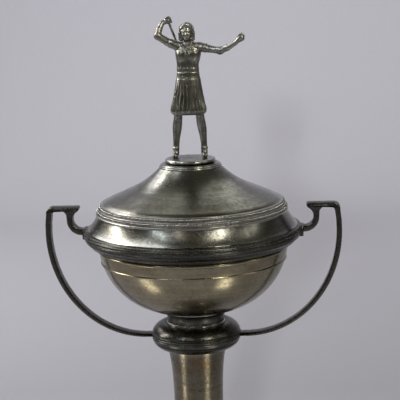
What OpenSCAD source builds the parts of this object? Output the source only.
// Lidded cup trophy on a column, foot and plinth, with a cast player finial.
// Origin: bottom centre of the base. +Z up, handles along +X and -X, the finial faces -Y.

/* [Base] */
// Diameter of the wooden plinth at its bottom
plinth_d = 134; // [110:1:160]
// Height of the wooden plinth
plinth_h = 36; // [26:1:60]
// How far the plinth's top edge stands in from its bottom edge
plinth_step = 7; // [5:0.5:9]
// Depth of the pocket under the plinth that hides the clamping nut
pocket_depth = 14; // [12:0.5:20]
// Diameter of the pocket under the plinth
pocket_d = 40; // [28:1:60]
// Thickness of the felt pad
felt_t = 1.6; // [1:0.2:3]
// How far the felt stays inside the plinth's bottom edge
felt_inset = 3; // [1:0.5:8]
// Bare wood left round the metal foot
foot_margin = 5; // [3:0.5:8]

/* [Column] */
// Diameter of the column's straight middle
column_d = 35.2; // [28:0.2:42]
// Height of the column
column_h = 110; // [80:1:160]
// How much each end of the column flares out on the radius
column_flare = 3.9; // [2:0.1:5]
// Length over which the flare dies away
flare_length = 14; // [8:0.5:18]
// Height of the ring between the foot and the column
collar_h = 5; // [4:0.5:8]
// Sheet thickness of the spun pieces
wall = 1.2; // [0.8:0.1:1.6]

/* [Knop] */
// Diameter of the knop at its fullest
knop_d = 64.6; // [56:0.2:72]
// Radius of the knop's rounded edge
knop_round = 9; // [7:0.5:11]

/* [Bowl] */
// Inner diameter of the bowl's mouth
mouth_d = 132; // [120:1:144]
// Radius of the bowl's rounded side
bowl_round = 50.9; // [46:0.1:54]
// Radius of the flat under the bowl, which sits on the neck
bowl_seat_r = 24; // [21:0.5:28]
// Height of the neck between the knop and the bowl
neck_h = 10.7; // [8:0.1:16]
// Radius of the neck at its waist
neck_waist_r = 20.4; // [17:0.2:22]
// How far the rolled rim stands out from the bowl's lip
rim_reach = 10.4; // [8:0.2:12]
// Depth of the rolled rim
rim_h = 13; // [11:0.5:16]
// Distance from the lip down to the upper bead
bead_upper_drop = 14.4; // [14:0.1:16]
// Distance from the lip down to the lower bead
bead_lower_drop = 23.4; // [20:0.1:28]

/* [Handles] */
// How far each handle stands out from the rim
handle_reach = 28.4; // [22:0.2:36]
// Width of the handle bar from front to back
handle_w = 8.5; // [6:0.5:14]
// Thickness of the handle's upright leg
leg_t = 3.7; // [3:0.1:5]
// Thickness of the handle where it meets the knop
tail_t = 2.5; // [2.2:0.1:3.6]
// Height of the handle's flat top above the rim
handle_rise = 15.5; // [13:0.5:20]
// Thickness of the handle's flat top
top_t = 3.2; // [2.4:0.1:4]
// Thickness of the soldered lug on the rim
lug_t = 1.3; // [1:0.1:3]

/* [Lid] */
// How far the lid's lower edge stays inside the rim's outer face
lid_inset = 2.8; // [2:0.1:5]
// Running gap between the lid and its seat
seat_gap = 0.2; // [0.1:0.1:0.6]
// Gap all round between the lid's locating ring and the bowl
bezel_gap = 0.5; // [0.3:0.1:1.5]
// How far the locating ring reaches into the bowl
bezel_drop = 8; // [5:0.5:12]
// Radius of the flat on top of the lid
crown_r = 22; // [20:0.5:26]
// Height of a ridge on the lid's milled band
ridge = 0.7; // [0.4:0.1:1]

/* [Finial] */
// Height of the ring under the platform
ring_h = 2.2; // [1.6:0.2:4]
// Radius of the platform that the figure stands on
platform_r = 17.8; // [16:0.2:20]
// Height of the platform
platform_h = 3.8; // [3:0.2:6]
// Height of the figure from the soles to the crown of the head
figure_h = 95; // [80:1:110]

/* [Fasteners] */
// Diameter of the long tie rod
rod_d = 6; // [5:0.5:8]
// Diameter of the stud under the figure
stud_d = 5; // [4:0.5:6]
// Thread clearance on the radius inside a nut
thread_gap = 0.05; // [0.02:0.01:0.1]
// Clearance on the radius where a rod passes through a plate
pass_gap = 0.3; // [0.2:0.1:0.6]
// Thickness of the washers
washer_t = 1.5; // [1:0.1:2.5]

/* [Hidden] */
$fn = 96;

silver = [0.50, 0.49, 0.46];
dark_silver = [0.27, 0.27, 0.26];
steel = [0.62, 0.63, 0.65];
black_wood = [0.09, 0.07, 0.06];
green_felt = [0.10, 0.24, 0.15];

rod_r = rod_d / 2;
stud_r = stud_d / 2;
column_r = column_d / 2;
mouth_r = mouth_d / 2;
lip_r = mouth_r + wall;
rim_r = lip_r + rim_reach;
lid_r = rim_r - lid_inset;

// Angles shared by the lid and the foot: the flare, the shoulder and the cavetto above it
FLARE_LOW = 46;
FLARE_HIGH = 22;
SHOULDER_LOW = 10.5;
SHOULDER_HIGH = 65;
CAVETTO_LOW = 22;
LID_CAVETTO_HIGH = 46;
FOOT_CAVETTO_HIGH = 68;
ARC_STEPS = 10;

lid_flare = 30;
lid_shoulder = 14;
lid_slope = 16.4;
foot_flare = 16;
foot_shoulder = 10;
foot_slope = 6;
foot_edge_h = 2.4;

plinth_r = plinth_d / 2;
plinth_top_r = plinth_r - plinth_step;
foot_r = plinth_top_r - foot_margin;
foot_top_r = column_r + column_flare + 0.5;
collar_r = foot_top_r + 2.2;

// Points of a circular arc from angle a0 to angle a1
function arc(c, r, a0, a1, n = ARC_STEPS) =
    [for (i = [0:n]) let (a = a0 + (a1 - a0) * i / n) c + r * [cos(a), sin(a)]];

// Points of a quarter ellipse between two angles
function oval(c, rx, rz, a0, a1, n) =
    [for (i = [0:n]) let (a = a0 + (a1 - a0) * i / n) c + [rx * cos(a), rz * sin(a)]];

// The domed outline: a flare from the edge, a round shoulder, a straight slope and a cavetto.
function flare_c(edge, rf) = edge + rf * [cos(FLARE_LOW), sin(FLARE_LOW)];
function flare_end(edge, rf) = flare_c(edge, rf) - rf * [cos(FLARE_HIGH), sin(FLARE_HIGH)];
function shoulder_c(edge, rf, rs) = flare_end(edge, rf) - rs * [cos(SHOULDER_LOW), sin(SHOULDER_LOW)];
function shoulder_end(edge, rf, rs) =
    shoulder_c(edge, rf, rs) + rs * [cos(SHOULDER_HIGH), sin(SHOULDER_HIGH)];
function slope_end(edge, rf, rs, len) =
    shoulder_end(edge, rf, rs) + len * [-cos(CAVETTO_LOW + 2), sin(CAVETTO_LOW + 2)];
function cavetto_r(start, top_r, high) = (start[0] - top_r) / (sin(high) - sin(CAVETTO_LOW));
function cavetto_c(start, rc) = start + rc * [sin(CAVETTO_LOW), cos(CAVETTO_LOW)];
function dome_top(edge, rf, rs, len, top_r, high) =
    let (s = slope_end(edge, rf, rs, len), rc = cavetto_r(s, top_r, high))
    cavetto_c(s, rc)[1] - rc * cos(high);
// t is how far the outline lies inside the outer face
function dome(edge, rf, rs, len, top_r, high, t) =
    let (s = slope_end(edge, rf, rs, len), rc = cavetto_r(s, top_r, high))
    concat(arc(flare_c(edge, rf), rf + t, 180 + FLARE_LOW, 180 + FLARE_HIGH, 6),
           arc(shoulder_c(edge, rf, rs), rs - t, SHOULDER_LOW, SHOULDER_HIGH),
           arc(cavetto_c(s, rc), rc + t, 270 - CAVETTO_LOW, 270 - high));

// Heights of the seats, from the table up
z_plinth = felt_t;
z_foot = z_plinth + plinth_h;
foot_edge = [foot_r, foot_edge_h];
foot_h = dome_top(foot_edge, foot_flare, foot_shoulder, foot_slope, foot_top_r, FOOT_CAVETTO_HIGH);
z_collar = z_foot + foot_h;
z_column = z_collar + collar_h;
z_knop = z_column + column_h;
knop_r = knop_d / 2;
knop_ring_r = knop_r - knop_round;
knop_h = 2 * knop_round - 0.2;
z_neck = z_knop + knop_h;
z_bowl = z_neck + neck_h;

// The bowl's side is one arc that meets the straight lip at a slight angle
LIP_ANGLE = 8.1;
bowl_c = [lip_r - bowl_round * cos(LIP_ANGLE), 0];
bowl_low = acos((bowl_seat_r - bowl_c[0]) / bowl_round);
bowl_c_up = bowl_round * sin(bowl_low);
lip_h = 16.9;
z_rim = z_bowl + bowl_c_up - bowl_round * sin(LIP_ANGLE) + lip_h;
z_knop_mid = z_knop + knop_round;

lid_edge = [lid_r, seat_gap];
lid_h = dome_top(lid_edge, lid_flare, lid_shoulder, lid_slope, crown_r, LID_CAVETTO_HIGH);
lid_wall = 1;
z_crown = z_rim + lid_h;
z_platform = z_crown + ring_h;
z_figure = z_platform + platform_h;

nut_h = 5;
nut_af = 10;
stud_nut_h = 4;
stud_nut_af = 8;
base_washer_r = 14;
bowl_washer_r = 13;
stud_washer_r = 9;
lock_washer_t = 1.2;
lock_washer_r = 6;
rod_spare = 2;
z_pocket = z_plinth + pocket_depth;

// A solid of revolution from an outline
module turned(points) {
    rotate_extrude($fn = 128) polygon(points);
}

// A flat ring
module ring(r_out, r_in, h) {
    difference() {
        cylinder(r = r_out, h = h);
        translate([0, 0, -1]) cylinder(r = r_in, h = h + 2);
    }
}

// A hexagon nut with a round bore
module hex_nut(af, h, bore_r) {
    difference() {
        cylinder(r = af / sqrt(3), h = h, $fn = 6);
        translate([0, 0, -1]) cylinder(r = bore_r, h = h + 2);
    }
}

// Fine engraved line on an arc's face, at an angle round its centre
module engraved_line(c, r, at) {
    translate(c + (r + 0.1) * [cos(at), sin(at)]) circle(r = 0.4, $fn = 16);
}

module felt_pad() {
    color(green_felt) cylinder(r = plinth_r - felt_inset, h = felt_t);
}

// Turned wooden plinth: a straight base, a quarter round, a groove and a small top step
module plinth() {
    round_r = plinth_step - 2;
    outline = concat([[0, 0], [plinth_r, 0], [plinth_r, plinth_h * 0.55]],
                     arc([plinth_r, plinth_h * 0.55 + 2.5], 2.5, 270, 180, 6),
                     [[plinth_r - 2.5, plinth_h - round_r - 2]],
                     arc([plinth_top_r, plinth_h - round_r - 2], round_r - 0.5, 0, 90, 6),
                     [[plinth_top_r, plinth_h - 0.6], [plinth_top_r - 0.6, plinth_h], [0, plinth_h]]);
    color(black_wood) translate([0, 0, z_plinth]) difference() {
        turned(outline);
        translate([0, 0, -1]) cylinder(d = pocket_d, h = pocket_depth + 1);
        cylinder(r = rod_r + pass_gap, h = plinth_h + 1);
    }
}

module base_washer() {
    color(steel) translate([0, 0, z_pocket - washer_t]) ring(base_washer_r, rod_r + pass_gap, washer_t);
}

// Spring washer: a split ring under the nut
module lock_washer() {
    color(steel) translate([0, 0, z_pocket - washer_t - lock_washer_t]) difference() {
        ring(lock_washer_r, rod_r + pass_gap, lock_washer_t);
        translate([0, -0.5, -1]) cube([lock_washer_r + 1, 1, lock_washer_t + 2]);
    }
}

module base_nut() {
    color(steel) translate([0, 0, z_pocket - washer_t - lock_washer_t - nut_h])
        hex_nut(nut_af, nut_h, rod_r + thread_gap);
}

function foot_line(t) =
    dome(foot_edge, foot_flare, foot_shoulder, foot_slope, foot_top_r, FOOT_CAVETTO_HIGH, t);

// Spun foot, open underneath and closed by a flat top
module foot() {
    color(silver) translate([0, 0, z_foot]) difference() {
        turned(concat([[0, 0], [foot_r, 0]], foot_line(0), [[0, foot_h]]));
        turned(concat([[0, -1], [foot_line(wall)[0][0], -1]], foot_line(wall), [[0, foot_h - wall]]));
        cylinder(r = rod_r + pass_gap, h = foot_h + 1);
    }
}

// Cast ring with a half-round edge
module foot_collar() {
    half = collar_h / 2;
    color(dark_silver) translate([0, 0, z_collar]) difference() {
        turned(concat([[0, 0], [collar_r - half, 0]],
                      arc([collar_r - half, half], half, -90, 90),
                      [[0, collar_h]]));
        translate([0, 0, -1]) cylinder(r = column_r - wall, h = collar_h + 2);
    }
}

// Radius of the column's outer face at a height above its bottom
function column_at(z) = column_r
    + column_flare * (exp(-z / flare_length) + exp((z - column_h) / flare_length));
column_stations = [for (i = [0:26]) let (u = i / 26) column_h * (u - sin(360 * u) / 8)];
function column_line(t) = [for (z = column_stations) [column_at(z) - t, z]];

module column() {
    color(silver) translate([0, 0, z_column]) rotate_extrude($fn = 128) difference() {
        polygon(concat([[0, 0]], column_line(0), [[0, column_h]]));
        polygon(concat([[-1, 0]], column_line(wall), [[-1, column_h]]));
    }
}

// Disc that closes one end of the column and centres the tie rod
module column_disc(z) {
    rotate_extrude($fn = 128) intersection() {
        polygon(concat([[0, 0]], column_line(wall), [[0, column_h]]));
        translate([rod_r + pass_gap, z]) square([2 * column_r, washer_t]);
    }
}

module column_foot_disc() {
    color(steel) translate([0, 0, z_column]) column_disc(0);
}

module column_top_disc() {
    color(steel) translate([0, 0, z_column]) column_disc(column_h - washer_t);
}

// The knop is a ring with a flat centre, pressed in two halves that meet at its middle
knop_floor = knop_h - knop_round;
knop_flat_r = knop_ring_r - sqrt(pow(knop_round, 2) - pow(knop_floor, 2));
function knop_top_line(t) =
    arc([knop_ring_r, 0], knop_round - t, 0, 90 + acos(knop_floor / knop_round), 12);

function knop_low_line(t) = arc([knop_ring_r, 0], knop_round - t, 0, 90, 12);

// One pressed half: line is its outer outline, inner the same outline one wall inside
module knop_half(line, inner, floor_z, engraved_at) {
    rotate_extrude($fn = 128) difference() {
        polygon(concat([[rod_r + pass_gap, 0]], line, [[rod_r + pass_gap, floor_z]]));
        polygon(concat([[0, -1], [knop_r - wall, -1]], inner, [[0, floor_z - wall]]));
        engraved_line([knop_ring_r, 0], knop_round, engraved_at);
    }
}

module knop_upper() {
    color(dark_silver) translate([0, 0, z_knop_mid])
        knop_half(knop_top_line(0), knop_top_line(wall), knop_floor, 16);
}

module knop_lower() {
    color(dark_silver) translate([0, 0, z_knop_mid]) mirror([0, 0, 1])
        knop_half(knop_low_line(0), knop_low_line(wall), knop_round, 24);
}

// Cast neck with a waist, open inside round the rod
module bowl_neck() {
    lip = 1;
    reach = bowl_seat_r - neck_waist_r;
    color(dark_silver) translate([0, 0, z_neck]) turned(concat(
        [[neck_waist_r - 4, 0], [neck_waist_r + 0.3, 0], [neck_waist_r, 1.2]],
        [for (i = [1:8]) let (a = 90 * i / 8)
            [neck_waist_r + reach * (1 - cos(a)), 1.2 + (neck_h - 1.2 - lip) * sin(a)]],
        [[bowl_seat_r, neck_h], [neck_waist_r - 4, neck_h]]));
}

// Outer or inner outline of the bowl, from the seat up to the lip, measured from the rim
function bowl_line(t) = arc([bowl_c[0], z_bowl + bowl_c_up - z_rim], bowl_round - t,
                            -asin(bowl_c_up / bowl_round), -LIP_ANGLE, 24);
bowl_h = z_rim - z_bowl;
module bowl_outline(t) {
    polygon(concat([[0, t - bowl_h]],
                   [for (p = bowl_line(t)) [p[0], max(p[1], t - bowl_h)]],
                   [[lip_r - t, t * 4], [0, t * 4]]));
}

module bowl() {
    color(silver) translate([0, 0, z_rim]) rotate_extrude($fn = 160) difference() {
        bowl_outline(0);
        bowl_outline(wall);
        translate([-1, -bowl_h - 1]) square([rod_r + pass_gap + 1, wall + 2]);
    }
}

// Radius of the bowl's outer face at a drop below the rim
function bowl_at(drop) = drop <= lip_h ? lip_r
    : bowl_c[0] + sqrt(pow(bowl_round, 2) - pow(drop - (bowl_h - bowl_c_up), 2));

// Half-round wire soldered round the bowl
module bead(drop, r) {
    translate([0, 0, z_rim]) rotate_extrude($fn = 160) difference() {
        translate([bowl_at(drop), -drop]) circle(r = r, $fn = 24);
        bowl_outline(0);
    }
}

module bead_lower() {
    color(silver) bead(bead_lower_drop, 0.9);
}

module bead_upper() {
    color(silver) bead(bead_upper_drop, 1.3);
}

// Rolled rim: a flat seat, a rounded face with three engraved lines and a cove underneath
rim_round = 5;
rim_round_c = [rim_r - rim_round, 1 - rim_round];
module rim_outline() {
    tuck = rim_round_c + rim_round * [cos(-38), sin(-38)];
    polygon(concat([[lip_r, 0], [rim_r - 2.2, 0]],
                   arc(rim_round_c, rim_round, 52, -38),
                   [tuck + [-1.2, -1.0], tuck + [-3.4, -3.4], [lip_r + 2.2, -rim_h + 0.4], [lip_r, -rim_h]]));
}

module rim_band() {
    color(dark_silver) translate([0, 0, z_rim]) rotate_extrude($fn = 160) difference() {
        rim_outline();
        for (a = [24, 4, -24])
            engraved_line(rim_round_c, rim_round, a);
    }
}

module bowl_washer() {
    color(steel) translate([0, 0, z_bowl + wall]) ring(bowl_washer_r, rod_r + pass_gap, washer_t);
}

// Domed cap nut that closes the rod's upper end
cap_dome_r = nut_af / 2 - 0.4;
module bowl_nut() {
    color(steel) translate([0, 0, z_bowl + wall + washer_t]) difference() {
        union() {
            cylinder(r = nut_af / sqrt(3), h = nut_h, $fn = 6);
            translate([0, 0, nut_h]) intersection() {
                sphere(r = cap_dome_r, $fn = 48);
                cylinder(r = cap_dome_r + 1, h = cap_dome_r + 1);
            }
        }
        translate([0, 0, -1]) cylinder(r = rod_r + thread_gap, h = nut_h + 1.5);
    }
}

module tie_rod() {
    z_low = z_pocket - washer_t - lock_washer_t - nut_h - rod_spare;
    z_high = z_bowl + wall + washer_t + nut_h;
    color(steel) translate([0, 0, z_low]) cylinder(r = rod_r, h = z_high - z_low, $fn = 64);
}

// Handle outline in the XZ plane, measured from the rim; the cup's axis is x = 0.
handle_r = rim_r + handle_reach;
tail_x = knop_r - 2;
oval_c = [knop_r + 3.7, -4];
tail_z = z_knop_mid - z_rim - 0.4 - tail_t / 2;
oval_rx = handle_r - oval_c[0];
oval_rz = oval_c[1] - tail_z;
hook_r = 6.8;
hook_c = [rim_r + 1.8, 6];
hook_t = 3.9;
hook_drop = 0.4;
tip_x = rim_r + 3.7;
corner_r = 4.5;
under_z = handle_rise - top_t;
function handle_line() = concat(
    [[tail_x, tail_z]],
    oval(oval_c, oval_rx, oval_rz, -90, 0, 28),
    [[handle_r - 0.2, 3]],
    arc([handle_r - 1 - corner_r, handle_rise - corner_r], corner_r, -8, 90, 6),
    [[tip_x + 0.5, handle_rise], [tip_x, handle_rise - 0.5], [tip_x, handle_rise - 1.6]],
    arc(hook_c, hook_r, 66, -90, 14),
    [[rim_r - 2, hook_c[1] - hook_r], [rim_r - 2, hook_c[1] - hook_r - hook_t - hook_drop]],
    arc(hook_c - [0, hook_drop], hook_r + hook_t, -90, 0, 8),
    [[hook_c[0] + hook_r + hook_t + 0.3, under_z - 2.4],
     [hook_c[0] + hook_r + hook_t + 2.2, under_z]],
    arc([handle_r - leg_t - 4, under_z - 3], 3, 90, 0, 4),
    [[handle_r - leg_t - 0.2, 3]],
    oval(oval_c, oval_rx - leg_t, oval_rz - tail_t, 0, -90, 28),
    [[tail_x, tail_z + tail_t]]);

// Outline of the lug: a disc with a flat top and bottom
lug_z = -4.2;
lug_r = 6.8;
lug_h = 7.6;
module lug_block() {
    translate([rim_r - 6, 0, z_rim + lug_z]) rotate([90, 0, 90]) linear_extrude(lug_t + 6) intersection() {
        circle(r = lug_r, $fn = 48);
        square([2 * lug_r, lug_h], center = true);
    }
}

module rim_solid() {
    translate([0, 0, z_rim]) rotate_extrude($fn = 160) rim_outline();
}

module right_handle() {
    difference() {
        translate([0, 0, z_rim]) rotate([90, 0, 0])
            linear_extrude(handle_w, center = true) polygon(handle_line());
        lug_block();
        translate([0, 0, z_knop_mid]) rotate_extrude($fn = 128)
            polygon(concat([[0, -knop_round]], arc([knop_ring_r, 0], knop_round, -90, 90, 24), [[0, knop_round]]));
    }
}

module right_lug() {
    difference() {
        lug_block();
        rim_solid();
    }
}

module handle_right() {
    color(dark_silver) right_handle();
}

module handle_left() {
    color(dark_silver) mirror([1, 0, 0]) right_handle();
}

module lug_right() {
    color(dark_silver) right_lug();
}

module lug_left() {
    color(dark_silver) mirror([1, 0, 0]) right_lug();
}

function lid_line(t) = dome(lid_edge, lid_flare, lid_shoulder, lid_slope, crown_r, LID_CAVETTO_HIGH, t);

module lid_outline(t) {
    polygon(concat([[0, seat_gap - 3 * t], [lid_line(t)[0][0], seat_gap - 3 * t]], lid_line(t),
                   [[0, lid_h - t]]));
}

// Spun lid, closed at the crown round the stud's hole
module lid_shell() {
    color(silver) translate([0, 0, z_rim]) rotate_extrude($fn = 160) difference() {
        intersection() {
            lid_outline(0);
            translate([0, seat_gap]) square([lid_r + 1, lid_h]);
        }
        lid_outline(lid_wall);
        translate([-1, lid_h - 2]) square([stud_r + pass_gap + 1, 4]);
    }
}

// Locating ring: a flange that closes the flare and a skirt that drops into the bowl
bezel_r = mouth_r - bezel_gap;
bezel_t = 1.2;
module lid_bezel() {
    color(dark_silver) translate([0, 0, z_rim]) rotate_extrude($fn = 160) {
        intersection() {
            lid_outline(lid_wall);
            translate([bezel_r - bezel_t, seat_gap]) square([lid_r, bezel_t]);
        }
        translate([bezel_r - bezel_t, -bezel_drop]) square([bezel_t, bezel_drop + seat_gap + bezel_t]);
    }
}

// Milled band of three ridges round the lid's shoulder
band_angles = [15, 30, 43];
module lid_band() {
    c = shoulder_c(lid_edge, lid_flare, lid_shoulder);
    color(dark_silver) translate([0, 0, z_rim]) rotate_extrude($fn = 160) difference() {
        union() {
            polygon(concat(arc(c, lid_shoulder + 0.3, SHOULDER_LOW, 49, 8),
                           arc(c, lid_shoulder - 0.4, 49, SHOULDER_LOW, 8)));
            for (a = band_angles)
                translate(c + (lid_shoulder + 0.1) * [cos(a), sin(a)]) circle(r = ridge + 0.1, $fn = 20);
        }
        lid_outline(0);
    }
}

// Ring with two fine beads under the platform
module finial_ring() {
    h = ring_h / 2;
    color(dark_silver) translate([0, 0, z_crown]) difference() {
        turned(concat([[0, 0], [crown_r - h * 0.4, 0]],
                      arc([crown_r - h * 0.4, h / 2], h / 2, -90, 90, 6),
                      arc([crown_r - h, h * 1.5], h / 2, -90, 90, 6),
                      [[0, ring_h]]));
        translate([0, 0, -1]) cylinder(r = stud_r + pass_gap, h = ring_h + 2);
    }
}

// Platform: a cavetto under a round-edged disc
module platform() {
    edge = platform_h * 0.3;
    foot_step = 0.6;
    cove_z = platform_h - 2 * edge;
    color(dark_silver) translate([0, 0, z_platform]) difference() {
        turned(concat([[0, 0], [platform_r + 2.4, 0], [platform_r + 2.4, foot_step]],
                      [for (i = [1:6]) let (a = 90 * i / 6)
                          [platform_r + 2 - 3.2 * sin(a), foot_step + (cove_z - foot_step) * (1 - cos(a))]],
                      arc([platform_r - edge, platform_h - edge], edge, -90, 90, 8),
                      [[0, platform_h]]));
        translate([0, 0, -1]) cylinder(r = stud_r + thread_gap, h = platform_h);
    }
}

// A round limb between two points
module limb(p, q, rp, rq) {
    hull() {
        translate(p) sphere(r = rp, $fn = 18);
        translate(q) sphere(r = rq, $fn = 18);
    }
}

// An oval slice of the body: rx wide, ry deep
module slice(p, rx, ry, h = 1) {
    translate(p) linear_extrude(h) polygon(oval([0, 0], rx, ry, 0, 345, 23));
}

// Joints of the standing player in a figure 95 high; the body stands a little behind the centre.
body_y = 3;
fist_r = 2.5;
hand_right = [-13.2, 9, 96.4];
hand_left = [38.5, -7, 84.2];
racket_mid = [-1.6, 12.6, 63.5];

module figure_body() {
    // Feet and legs, left then right as seen from the front
    for (s = [[-10.2, -9.4, -8.0, -4.8], [9.9, 9.2, 7.9, 4.8]]) {
        limb([s[0], 0.5, 1.1], [s[0], 6.6, 1.8], 1.9, 2.1);
        limb([s[0], 6.6, 2.4], [s[1], body_y + 2.4, 18.5], 1.8, 3.0);
        limb([s[1], body_y + 2.4, 18.5], [s[2], body_y + 0.6, 28.5], 3.0, 2.8);
        limb([s[2], body_y + 0.6, 28.5], [s[3], body_y, 45], 2.9, 4.2);
    }
    // Skirt, hips, waist and chest
    hull() {
        slice([-0.2, body_y, 30.5], 12.5, 8.4);
        slice([0.4, body_y, 56], 8.3, 6.0);
    }
    hull() {
        slice([0.4, body_y, 56], 8.3, 6.0);
        slice([0.4, body_y, 63], 7.0, 4.9);
    }
    hull() {
        slice([0.4, body_y, 63], 7.0, 4.9);
        slice([1.0, body_y, 74], 9.0, 5.8);
        slice([1.2, body_y, 78.5], 7.0, 3.6);
    }
    // Neck and head with bobbed hair
    limb([1.1, body_y, 78], [0.7, body_y - 0.4, 84], 2.5, 2.2);
    limb([0.4, body_y - 0.4, 86.8], [0.3, body_y + 0.4, 90], 4.3, 5.0);
    // Arm that holds the racket
    limb([-6.6, body_y, 78], [-20.2, 3.6, 85.6], 3.2, 2.5);
    limb([-20.2, 3.6, 85.6], [-17.0, 8.6, 95.4], 2.5, 1.9);
    limb([-17.0, 8.6, 95.6], hand_right, 1.9, fist_r);
    // Arm that throws the ball
    limb([8.8, body_y, 77.4], [23.6, -2.6, 74.9], 3.0, 2.5);
    limb([23.6, -2.6, 74.9], [35.2, -6.0, 80.6], 2.4, 1.8);
    limb([35.2, -6.0, 80.6], hand_left, 1.8, 2.9);
}

module figure() {
    k = figure_h / 95;
    color(dark_silver) translate([0, 0, z_figure]) intersection() {
        scale(k) figure_body();
        translate([-150, -150, 0]) cube([300, 300, 200]);
    }
}

// Racket, cast flat with its strings solid, held head down behind the back
racket_rx = 6.4;
racket_rz = 8.2;
module racket_flat() {
    grip = norm(hand_right - racket_mid);
    linear_extrude(1.4, center = true) difference() {
        union() {
            polygon(oval([0, 0], racket_rx, racket_rz, 0, 350, 35));
            polygon([[-2.6, racket_rz - 1.4], [-0.8, racket_rz + 4], [-0.8, grip + 1.5],
                     [0.8, grip + 1.5], [0.8, racket_rz + 4], [2.6, racket_rz - 1.4]]);
        }
        polygon(oval([0, 0], racket_rx - 1, racket_rz - 1, 0, 350, 35));
    }
    linear_extrude(0.6, center = true) polygon(oval([0, 0], racket_rx - 0.8, racket_rz - 0.8, 0, 350, 35));
}

module racket() {
    k = figure_h / 95;
    d = hand_right - racket_mid;
    lean = atan2(-d[0], norm([d[1], d[2]]));
    tilt = atan2(d[2], d[1]);
    color(dark_silver) translate([0, 0, z_figure]) scale(k)
        translate(racket_mid) rotate([tilt, 0, 0]) rotate([0, 0, lean]) racket_flat();
}

module figure_stud() {
    z_low = z_crown - lid_wall - washer_t - stud_nut_h - rod_spare;
    z_high = z_figure - 1;
    color(steel) translate([0, 0, z_low]) cylinder(r = stud_r, h = z_high - z_low, $fn = 64);
}

module figure_washer() {
    color(steel) translate([0, 0, z_crown - lid_wall - washer_t])
        ring(stud_washer_r, stud_r + pass_gap, washer_t);
}

module figure_nut() {
    color(steel) translate([0, 0, z_crown - lid_wall - washer_t - stud_nut_h])
        hex_nut(stud_nut_af, stud_nut_h, stud_r + thread_gap);
}

felt_pad();
plinth();
base_washer();
lock_washer();
base_nut();
foot();
foot_collar();
column();
column_foot_disc();
column_top_disc();
knop_lower();
knop_upper();
bowl_neck();
bowl();
bead_lower();
bead_upper();
rim_band();
bowl_washer();
bowl_nut();
tie_rod();
handle_left();
handle_right();
lug_left();
lug_right();
lid_shell();
lid_bezel();
lid_band();
finial_ring();
platform();
figure();
racket();
figure_stud();
figure_washer();
figure_nut();
